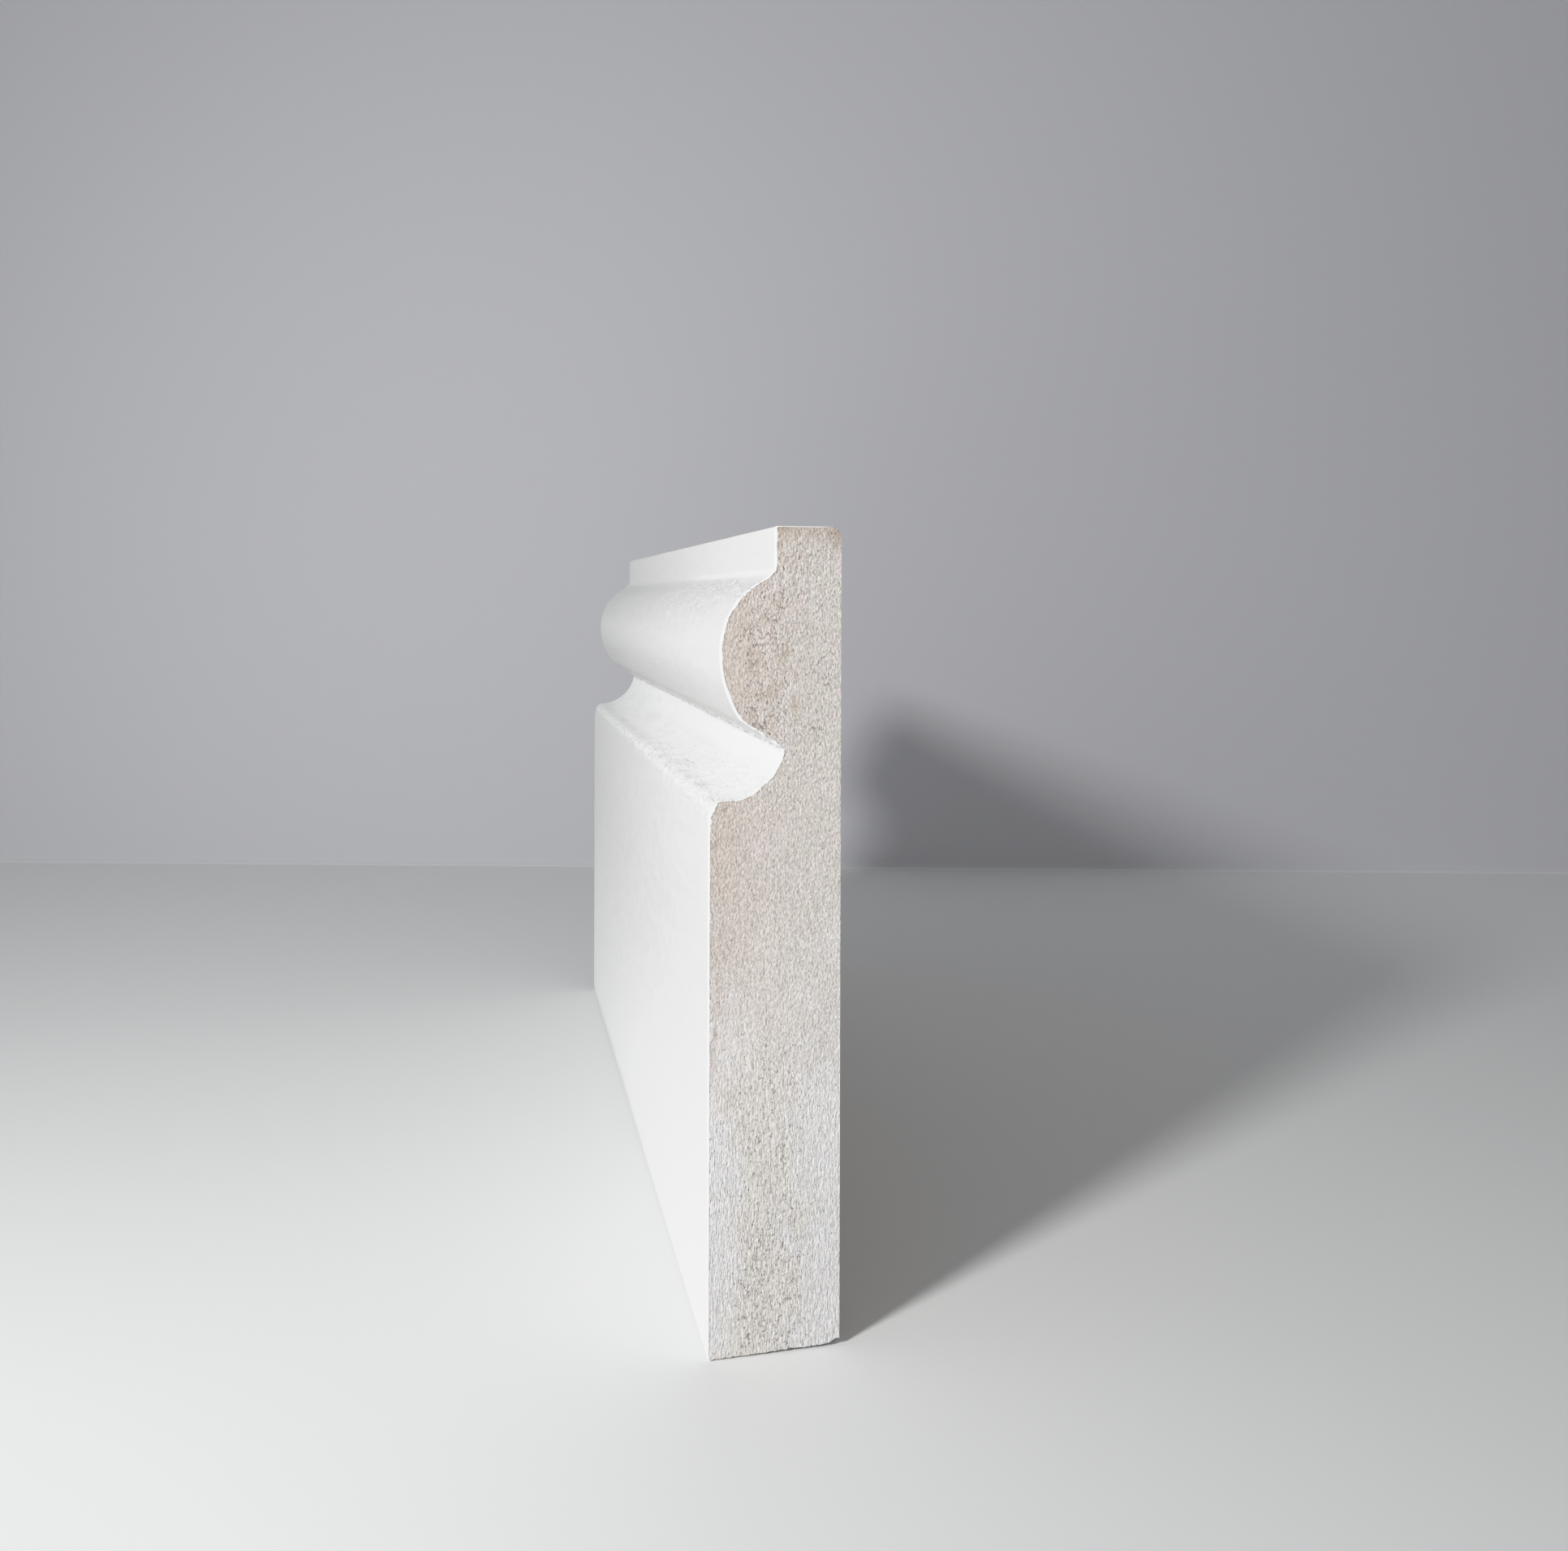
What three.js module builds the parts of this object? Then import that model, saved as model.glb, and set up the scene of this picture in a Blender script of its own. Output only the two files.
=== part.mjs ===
// A short length of torus skirting board: one machined board, moulded along its front top edge.
//
// Millimetres, +Z up. The board runs along X and stands on its foot. The moulded face looks
// towards -Y and the flat back, which goes against a wall, looks towards +Y. The origin is
// under the middle of the board, on the plane that the foot stands on.

import * as THREE from 'three';

// Size of the board as stocked, and of the length that was sawn off it.
const BOARD_LENGTH = 150;
const BOARD_HEIGHT = 95;
const BOARD_THICKNESS = 15.6;

// Heights are measured up from the foot, and setbacks back from the plain front face.

// Flat fillet along the top of the moulding.
const FILLET_HEIGHT = 5.2;
const FILLET_SETBACK = 7.65;

// The torus: two arcs that meet at its crown. The lower one is flatter.
const CROWN_HEIGHT = 80.5;
const CROWN_SETBACK = 1.25;
const TORUS_UPPER_RADIUS = 9.1;
const TORUS_UPPER_SWEEP = 60.5;
const TORUS_LOWER_RADIUS = 13.9;
const TORUS_LOWER_SWEEP = 34;

// The quirk under the torus, and the cove that runs out of it to the front face.
const QUIRK_HEIGHT = 69.4;
const QUIRK_SETBACK = 8.65;
const COVE_FLOOR_HEIGHT = 63.3;
const COVE_RADIUS = 7.4;

// Eased and worn arrises.
const FRONT_ARRIS_DROP = 2.8;
const FRONT_ARRIS_BELLY = 0.4;
const FILLET_ARRIS_RADIUS = 0.3;
const BACK_ARRIS_RADIUS = 1.2;
const FOOT_ARRIS_RADIUS = 0.4;

// Half of the number of straight pieces that each arc of the outline is made of.
const ARC_DIVISIONS = 18;

// The satin white primer.
const PRIMER_WHITE = new THREE.Color(0.82, 0.83, 0.81);
const PRIMER_ROUGHNESS = 0.55;

const HALF_TURN = Math.PI;
const QUARTER_TURN = Math.PI / 2;

const FRONT = -BOARD_THICKNESS / 2;
const BACK = BOARD_THICKNESS / 2;

/** Place across the thickness of a point set back from the plain front face. */
function setBack(distance) {
  return FRONT + distance;
}

/** Place and height of the point at an angle on a circle. */
function onCircle(centre, radius, angle) {
  return new THREE.Vector2(
    centre.x + radius * Math.cos(angle),
    centre.y + radius * Math.sin(angle),
  );
}

/** Foot and back: up from the front of the foot to the start of the top edge. */
function traceFootAndBack(outline) {
  const foot = FOOT_ARRIS_RADIUS;
  const worn = BACK_ARRIS_RADIUS;
  outline.moveTo(FRONT, foot);
  outline.absarc(FRONT + foot, foot, foot, HALF_TURN, HALF_TURN + QUARTER_TURN, false);
  outline.lineTo(BACK, 0);
  outline.lineTo(BACK, BOARD_HEIGHT - worn);
  outline.absarc(BACK - worn, BOARD_HEIGHT - worn, worn, 0, QUARTER_TURN, false);
}

/** Top edge and the flat fillet under it. */
function traceFillet(outline) {
  const eased = FILLET_ARRIS_RADIUS;
  const centreX = setBack(FILLET_SETBACK) + eased;
  const centreY = BOARD_HEIGHT - eased;
  outline.absarc(centreX, centreY, eased, QUARTER_TURN, HALF_TURN, false);
  outline.lineTo(setBack(FILLET_SETBACK), BOARD_HEIGHT - FILLET_HEIGHT);
}

/** The torus, from the short slope under the fillet to the break above the quirk. */
function traceTorus(outline) {
  const upperSweep = THREE.MathUtils.degToRad(TORUS_UPPER_SWEEP);
  const lowerSweep = THREE.MathUtils.degToRad(TORUS_LOWER_SWEEP);
  const crown = setBack(CROWN_SETBACK);
  outline.absarc(
    crown + TORUS_UPPER_RADIUS, CROWN_HEIGHT, TORUS_UPPER_RADIUS,
    HALF_TURN - upperSweep, HALF_TURN, false,
  );
  outline.absarc(
    crown + TORUS_LOWER_RADIUS, CROWN_HEIGHT, TORUS_LOWER_RADIUS,
    HALF_TURN, HALF_TURN + lowerSweep, false,
  );
}

/** The undercut flank, the quirk, and the cove down to its floor. */
function traceCove(outline) {
  const quirk = new THREE.Vector2(setBack(QUIRK_SETBACK), QUIRK_HEIGHT);
  const centreY = COVE_FLOOR_HEIGHT + COVE_RADIUS;
  const rise = centreY - quirk.y;
  const centreX = quirk.x - Math.sqrt(COVE_RADIUS ** 2 - rise ** 2);
  outline.lineTo(quirk.x, quirk.y);
  outline.absarc(centreX, centreY, COVE_RADIUS, -Math.asin(rise / COVE_RADIUS), -QUARTER_TURN, true);
}

/** The eased arris from the cove's floor over to the plain front face. */
function traceFrontArris(outline) {
  outline.quadraticCurveTo(
    FRONT, COVE_FLOOR_HEIGHT - FRONT_ARRIS_BELLY,
    FRONT, COVE_FLOOR_HEIGHT - FRONT_ARRIS_DROP,
  );
}

/** The section of the board, drawn with Y of the board to the right and Z up. */
function boardSection() {
  const outline = new THREE.Shape();
  traceFootAndBack(outline);
  traceFillet(outline);
  traceTorus(outline);
  traceCove(outline);
  traceFrontArris(outline);
  outline.closePath();
  return outline;
}

/** The board: its section run along X, sawn square at both ends. */
function skirtingBoard() {
  const geometry = new THREE.ExtrudeGeometry(boardSection(), {
    depth: BOARD_LENGTH,
    bevelEnabled: false,
    curveSegments: ARC_DIVISIONS,
  });
  const primedWhite = new THREE.MeshStandardMaterial({
    color: PRIMER_WHITE,
    roughness: PRIMER_ROUGHNESS,
    metalness: 0,
  });
  const board = new THREE.Mesh(geometry, primedWhite);
  board.name = 'skirting_board';
  // The section's own axes turn onto Y and Z, and the run of it onto X.
  board.rotation.set(QUARTER_TURN, 0, QUARTER_TURN, 'ZYX');
  board.position.set(-BOARD_LENGTH / 2, 0, 0);
  return board;
}

const torusSkirtingBoard = new THREE.Group();
torusSkirtingBoard.add(skirtingBoard());

export default torusSkirtingBoard;
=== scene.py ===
"""Looks of a short length of torus skirting board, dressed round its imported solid.

The board is one closed mesh in place of the solid: the moulded section is run along X through
stations that lie closer together towards the sawn end that faces the camera, and both ends are
closed with grids that carry the relief of sawn fibreboard. Sizes are in metres, apart from the
patterns and zones of the finishes, which are in millimetres.
"""

import logging
import math
from dataclasses import dataclass
from enum import Enum, IntEnum

import bpy
import numpy as np
from mathutils import Matrix, Vector


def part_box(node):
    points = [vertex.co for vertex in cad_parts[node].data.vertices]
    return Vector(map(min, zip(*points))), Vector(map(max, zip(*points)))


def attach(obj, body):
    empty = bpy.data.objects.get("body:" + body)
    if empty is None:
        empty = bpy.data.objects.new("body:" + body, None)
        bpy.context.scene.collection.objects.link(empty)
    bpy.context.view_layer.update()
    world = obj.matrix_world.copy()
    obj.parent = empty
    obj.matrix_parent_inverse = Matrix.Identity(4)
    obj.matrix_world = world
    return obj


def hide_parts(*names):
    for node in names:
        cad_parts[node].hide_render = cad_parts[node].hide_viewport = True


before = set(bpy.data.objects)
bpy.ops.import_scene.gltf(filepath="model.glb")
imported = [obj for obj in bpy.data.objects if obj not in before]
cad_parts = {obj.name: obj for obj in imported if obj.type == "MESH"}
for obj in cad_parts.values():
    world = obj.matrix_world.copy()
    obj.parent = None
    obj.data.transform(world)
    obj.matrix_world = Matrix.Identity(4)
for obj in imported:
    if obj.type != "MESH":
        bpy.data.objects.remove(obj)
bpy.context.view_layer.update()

MM = 0.001
PICTURE_WIDTH = 1932
PICTURE_HEIGHT = 1911
QUARTER_TURN = math.pi / 2
HALF_TURN = math.pi

LOG = logging.getLogger("skirting")

Point = tuple[float, float]
Colour = tuple[float, float, float]
Socket = bpy.types.NodeSocket
Material = bpy.types.Material


class Side(IntEnum):
    """The four long sides of the board, in the order in which they follow round its section."""

    FRONT = 0
    FOOT = 1
    BACK = 2
    TOP = 3


class Finish(IntEnum):
    """Material slots of the board's mesh."""

    PRIMER = 0
    SAWN = 1
    SANDED = 2


class Sum(Enum):
    """Ways of putting two values of a finish together."""

    PLUS = "ADD"
    TIMES = "MULTIPLY"
    GREATEST = "MAXIMUM"


def fade(t: np.ndarray) -> np.ndarray:
    """Smooth step from 0 to 1 with flat ends."""
    return t * t * t * (t * (6 * t - 15) + 10)


def between(value: np.ndarray, low: float, high: float) -> np.ndarray:
    """Ramp that is 0 below low, 1 above high, and smooth between them."""
    return fade(np.clip((value - low) / (high - low), 0, 1))


def band(value: np.ndarray, low: float, high: float, soft: float) -> np.ndarray:
    """Window that is 1 from low to high and falls to 0 over soft outside them."""
    return between(value, low - soft, low) * (1 - between(value, high, high + soft))


class Grain:
    """Seeded gradient noise over a plane, about -1 to 1, with features one unit across."""

    CELLS = 256
    GAIN = 1.5
    LAYERS = 2
    LAYER_SHARE = 0.55
    LAYER_SHIFT = (17.3, 9.1)
    LAYERED_GAIN = 1.25

    def __init__(self, seed: int) -> None:
        """Draws the gradients.

        Args:
            seed: number that fixes the pattern.
        """
        angle = np.random.default_rng(seed).uniform(0, 2 * math.pi, (self.CELLS, self.CELLS))
        self.gradient = np.stack([np.cos(angle), np.sin(angle)], -1)

    def at(self, u: np.ndarray, v: np.ndarray) -> np.ndarray:
        """Noise at points of the plane.

        Args:
            u: first coordinate, in features.
            v: second coordinate, in features.

        Returns:
            The noise at each point.
        """
        cell_u, cell_v = np.floor(u).astype(int), np.floor(v).astype(int)
        part_u, part_v = u - cell_u, v - cell_v
        corner = [
            [self._corner(cell_u + i, cell_v + j, part_u - i, part_v - j) for j in (0, 1)]
            for i in (0, 1)
        ]
        across_u, across_v = fade(part_u), fade(part_v)
        low = corner[0][0] + (corner[0][1] - corner[0][0]) * across_v
        high = corner[1][0] + (corner[1][1] - corner[1][0]) * across_v
        return self.GAIN * (low + (high - low) * across_u)

    def _corner(
        self, cell_u: np.ndarray, cell_v: np.ndarray, off_u: np.ndarray, off_v: np.ndarray
    ) -> np.ndarray:
        """What one corner of the lattice adds before blending."""
        gradient = self.gradient[cell_u % self.CELLS, cell_v % self.CELLS]
        return gradient[..., 0] * off_u + gradient[..., 1] * off_v

    def layered(self, u: np.ndarray, v: np.ndarray) -> np.ndarray:
        """Noise with a finer and weaker layer of itself added.

        Args:
            u: first coordinate, in features.
            v: second coordinate, in features.

        Returns:
            The noise at each point, still about -1 to 1.
        """
        total, weight = np.zeros(np.shape(u)), 0.0
        shift_u, shift_v = self.LAYER_SHIFT
        for layer in range(self.LAYERS):
            scale, share = 2.0**layer, self.LAYER_SHARE**layer
            finer = self.at(u * scale + shift_u * layer, v * scale - shift_v * layer)
            total = total + share * finer
            weight += share
        return total / weight * self.LAYERED_GAIN


@dataclass(frozen=True)
class Section:
    """The board's section. Setbacks are measured back from the plain front face.

    The pieces of the front add up, stretch by stretch, to numbers that divide by four, and by
    eight from the cove on, so that the rings with fewer points keep every corner of it.
    """

    thickness: float
    height: float
    fillet_height: float = 5.2 * MM
    fillet_setback: float = 7.65 * MM
    crown_height: float = 80.5 * MM
    crown_setback: float = 1.25 * MM
    torus_upper_radius: float = 9.1 * MM
    torus_upper_sweep: float = math.radians(60.5)
    torus_lower_radius: float = 13.9 * MM
    torus_lower_sweep: float = math.radians(34)
    quirk_height: float = 69.4 * MM
    quirk_setback: float = 8.65 * MM
    cove_floor_height: float = 63.3 * MM
    cove_radius: float = 7.4 * MM
    front_arris_drop: float = 2.8 * MM
    front_arris_belly: float = 0.4 * MM
    fillet_arris_radius: float = 0.3 * MM
    back_arris_radius: float = 1.2 * MM
    foot_arris_radius: float = 0.4 * MM
    fillet_arris_pieces: int = 4
    fillet_pieces: int = 24
    slope_pieces: int = 8
    torus_upper_pieces: int = 72
    torus_lower_pieces: int = 40
    flank_pieces: int = 28
    cove_pieces: int = 72
    front_arris_pieces: int = 24
    face_pieces: int = 232
    foot_arris_pieces: int = 8

    @staticmethod
    def _arc(
        points: np.ndarray, centre: Point, radius: float, start: float, end: float, pieces: int
    ) -> np.ndarray:
        """Carries an outline on along an arc.

        Args:
            points: the outline so far, as setback and height.
            centre: setback and height of the arc's centre.
            radius: its radius.
            start: angle of its start, where the outline has come to.
            end: angle of its end.
            pieces: number of straight pieces.

        Returns:
            The longer outline.
        """
        angle = np.linspace(start, end, pieces + 1)[1:]
        arc = [centre[0] + radius * np.cos(angle), centre[1] + radius * np.sin(angle)]
        return np.vstack([points, np.stack(arc, -1)])

    @staticmethod
    def _line(points: np.ndarray, end: Point, pieces: int) -> np.ndarray:
        """Carries an outline on along a straight line to an end in a number of pieces."""
        along = np.linspace(0, 1, pieces + 1)[1:, None]
        return np.vstack([points, points[-1] + (np.array(end) - points[-1]) * along])

    def front(self) -> np.ndarray:
        """Front of the section from the top edge down to the foot.

        Returns:
            Setback and height of each point.
        """
        eased, foot, fillet = self.fillet_arris_radius, self.foot_arris_radius, self.fillet_setback
        points = np.array([[fillet + eased, self.height]])
        arris, pieces = (fillet + eased, self.height - eased), self.fillet_arris_pieces
        points = self._arc(points, arris, eased, QUARTER_TURN, HALF_TURN, pieces)
        points = self._line(points, (fillet, self.height - self.fillet_height), self.fillet_pieces)
        points = self._cove(self._torus(points))
        points = self._line(points, (0.0, foot), self.face_pieces)
        end, pieces = HALF_TURN + QUARTER_TURN, self.foot_arris_pieces
        return self._arc(points, (foot, foot), foot, HALF_TURN, end, pieces)

    def _torus(self, points: np.ndarray) -> np.ndarray:
        """Carries the outline on over the slope, the torus and the flank to the quirk.

        Args:
            points: the outline down to the foot of the fillet.

        Returns:
            The longer outline.
        """
        upper, lower = self.torus_upper_radius, self.torus_lower_radius
        start, end = HALF_TURN - self.torus_upper_sweep, HALF_TURN + self.torus_lower_sweep
        centre = (self.crown_setback + upper, self.crown_height)
        top = (centre[0] + upper * math.cos(start), centre[1] + upper * math.sin(start))
        points = self._line(points, top, self.slope_pieces)
        points = self._arc(points, centre, upper, start, HALF_TURN, self.torus_upper_pieces)
        centre = (self.crown_setback + lower, self.crown_height)
        points = self._arc(points, centre, lower, HALF_TURN, end, self.torus_lower_pieces)
        return self._line(points, (self.quirk_setback, self.quirk_height), self.flank_pieces)

    def _cove(self, points: np.ndarray) -> np.ndarray:
        """Carries the outline on through the cove and over its eased arris to the plain face.

        Args:
            points: the outline down to the quirk.

        Returns:
            The longer outline.
        """
        radius, floor = self.cove_radius, self.cove_floor_height
        height = floor + radius
        rise = height - self.quirk_height
        centre = (self.quirk_setback - math.sqrt(radius**2 - rise**2), height)
        start, pieces = -math.asin(rise / radius), self.cove_pieces
        points = self._arc(points, centre, radius, start, -QUARTER_TURN, pieces)
        along = np.linspace(0, 1, self.front_arris_pieces + 1)[1:, None]
        bend = np.array([0.0, floor - self.front_arris_belly])
        end = np.array([0.0, floor - self.front_arris_drop])
        curve = (1 - along) ** 2 * points[-1] + 2 * along * (1 - along) * bend + along**2 * end
        return np.vstack([points, curve])

    def back(self, height: np.ndarray) -> np.ndarray:
        """Setback of the back at each height, in along the worn arris at the top."""
        worn = self.back_arris_radius
        rise = np.clip(height - (self.height - worn), 0, worn)
        return self.thickness - worn + np.sqrt(worn**2 - rise**2)


@dataclass(frozen=True)
class Nib:
    """A small bump, such as a drop of paint or a raised fibre, or a dent if its rise is below 0."""

    along: float
    height: float
    reach_along: float
    reach_up: float
    rise: float
    steepness: float = 2.0

    def at(self, along: np.ndarray, height: np.ndarray) -> np.ndarray:
        """How far the nib stands out at each point."""
        away = ((along - self.along) / self.reach_along) ** 2
        away = away + ((height - self.height) / self.reach_up) ** 2
        return self.rise * np.exp(-away * self.steepness)


@dataclass(frozen=True)
class SawnRelief:
    """Relief of the sawn fibreboard of an end, and of the primer's rolled edge round it."""

    seed: int
    openness: float = 1.0
    lip: float = 0.27 * MM
    plain_lip: float = 0.17 * MM
    top_lip: float = 0.06 * MM
    lip_ragged: float = 0.08 * MM
    tatter: float = 2.0 * MM
    sink: float = 0.05 * MM
    grain_width: float = 0.26 * MM
    grain_height: float = 0.055 * MM
    pit_size: float = 0.40 * MM
    pit_depth: float = 0.12 * MM
    wave_size: float = 5.0 * MM
    wave_height: float = 0.03 * MM
    lean: float = 0.6 * MM
    widening: float = 2.1
    fine_share: float = 0.5
    wide_share: float = 0.35
    groove_limit: float = 0.4
    groove_middle: float = 0.22
    pit_level: float = 0.80
    pit_spread: float = 0.36
    pit_edge: float = 0.3
    least_lip: float = 0.001 * MM
    film_edge: float = 0.10 * MM
    covered: float = 0.01 * MM
    scar_shade: float = 0.3 * MM
    scars: tuple[Nib, ...] = ()

    def board(self, setback: np.ndarray, height: np.ndarray) -> tuple[np.ndarray, np.ndarray]:
        """Relief of the bare board.

        Args:
            setback: distance of each point behind the plain front face.
            height: height of each point above the foot.

        Returns:
            How far each point lies out of the face (below 0 is in), and how much painted shade it
            gets in pits, in the low parts of the grain and in dented scars, less on raised scars.
        """
        lean = Grain(self.seed).at(setback / (9 * MM), height / (16 * MM))
        across = setback + self.lean * lean
        along = self._stretched(height)
        fine, wide = self.grain_width, self.widening * self.grain_width
        grain = self.fine_share * Grain(self.seed + 1).at(across / fine, along / fine)
        wider = Grain(self.seed + 2).at(across / wide, along / wide)
        grain = grain + self.wide_share * wider
        groove = np.abs(Grain(self.seed + 6).at(across / (1.35 * fine), along / (1.7 * fine)))
        core = band(setback, 4.5 * MM, 9.5 * MM, 3 * MM) * (1 - between(height, 25 * MM, 50 * MM))
        barked = 0.35 + 0.4 * (1 - between(height, 15 * MM, 60 * MM)) + 0.5 * core
        groove = np.minimum(groove, self.groove_limit) - self.groove_middle
        grain = grain + barked * groove / self.groove_limit
        waves = Grain(self.seed + 3).at(setback / self.wave_size, height / (2 * self.wave_size))
        shaded_hollow = Grain(self.seed + 4).layered(across / self.pit_size, along / self.pit_size)
        shaded_hollow = shaded_hollow - self.pit_level + self.pit_spread * self.pitted(setback, height)
        pits = np.clip(shaded_hollow / self.pit_edge, 0, 1)
        inner = 1 - between(setback, 14.5 * MM, 15.3 * MM)
        scarred = sum((scar.at(setback, height) for scar in self.scars), 0 * height)
        relief = self.grain_height * grain + self.wave_height * waves - self.pit_depth * pits
        # Painted shade: pits and the low parts of the grain are drawn darker, dented scars darker and
        # raised scars lighter.
        painted_shade = pits * inner + 0.4 * np.clip(-grain - 0.15, 0, 1) - scarred / self.scar_shade
        return relief * inner + scarred, np.clip(painted_shade, 0, 1)

    def _stretched(self, height: np.ndarray) -> np.ndarray:
        """Height drawn together so that the grain comes out longer towards the foot."""
        steps = np.linspace(0, 0.1, 201)
        stretch = 1.15 + 1.3 * (1 - between(steps, 12 * MM, 62 * MM))
        drawn = np.concatenate([[0.0], np.cumsum(np.diff(steps) / stretch[1:])])
        return np.interp(height, steps, drawn)

    def pitted(self, setback: np.ndarray, height: np.ndarray) -> np.ndarray:
        """How open the board's core is, from 0 at its dense faces to 1 in the coarse core."""
        patch = Grain(self.seed + 5).layered(setback / (3.2 * MM), height / (5 * MM))
        core = band(setback, 5.0 * MM, 9.5 * MM, 3 * MM)
        low_core = core * band(height, 3 * MM, 33 * MM, 6 * MM)
        low_core = low_core * (1.4 - 0.45 * between(height, 9 * MM, 20 * MM))
        high_core = band(height, 72 * MM, 90 * MM, 5 * MM) * band(setback, 5 * MM, 9 * MM, 2 * MM)
        high_back = band(height, 72 * MM, 93 * MM, 3 * MM) * band(setback, 8 * MM, 14.6 * MM, 1 * MM)
        high = np.maximum(0.9 * high_core, 0.6 * high_back)
        return self.openness * np.clip(0.7 * low_core + high + 0.45 * patch, 0, 1)

    def film(
        self, from_front: np.ndarray, from_top: np.ndarray, setback: np.ndarray,
        height: np.ndarray,
    ) -> tuple[np.ndarray, np.ndarray, np.ndarray]:
        """The primer's rolled edge along the front and the top.

        Args:
            from_front: distance of each point behind the moulded front.
            from_top: distance of each point under the top edge.
            setback: distance of each point behind the plain front face.
            height: height of each point above the foot.

        Returns:
            How far the film lies out of the end, how much of a point is film, and whether the
            face that starts at the point is film.
        """
        ragged = Grain(self.seed + 7).layered(height / (0.9 * MM), 0 * height + 0.5)
        moulded = between(height, 60.0 * MM, 62.5 * MM)
        front = self.plain_lip + (self.lip - self.plain_lip) * moulded
        quirk = band(height, 68.5 * MM, 72.5 * MM, 1 * MM) + band(height, 60 * MM, 63 * MM, 1 * MM)
        front = front + self.lip_ragged * ragged * (0.5 + 0.5 * moulded + 1.2 * quirk)
        top = self.top_lip * (1 - between(setback, 13.2 * MM, 14.2 * MM)) + self.least_lip
        rise = -np.maximum(self._rolled(from_front, front), self._rolled(from_top, top))
        front = front + self._hanging(from_front, setback, height)
        inside = np.minimum(from_front - front, from_top - top)
        film = 1 - between(inside, 0.0, self.film_edge)
        return rise, film, inside < self.covered

    def _hanging(
        self, from_front: np.ndarray, setback: np.ndarray, height: np.ndarray
    ) -> np.ndarray:
        """How much farther in the film hangs over the sawn end, in tatters under the cove."""
        tatters = Grain(self.seed + 8).layered((setback - from_front) / (0.7 * MM), height * 0)
        return self.tatter * band(height, 63.3 * MM, 64.5 * MM, 0.5 * MM) * np.clip(tatters, 0, 1)

    @staticmethod
    def _rolled(away: np.ndarray, width: np.ndarray) -> np.ndarray:
        """Drop of a quarter round of a width at a distance in from its edge."""
        return width * (1 - np.sqrt(1 - np.clip(1 - away / width, 0, 1) ** 2))


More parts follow.
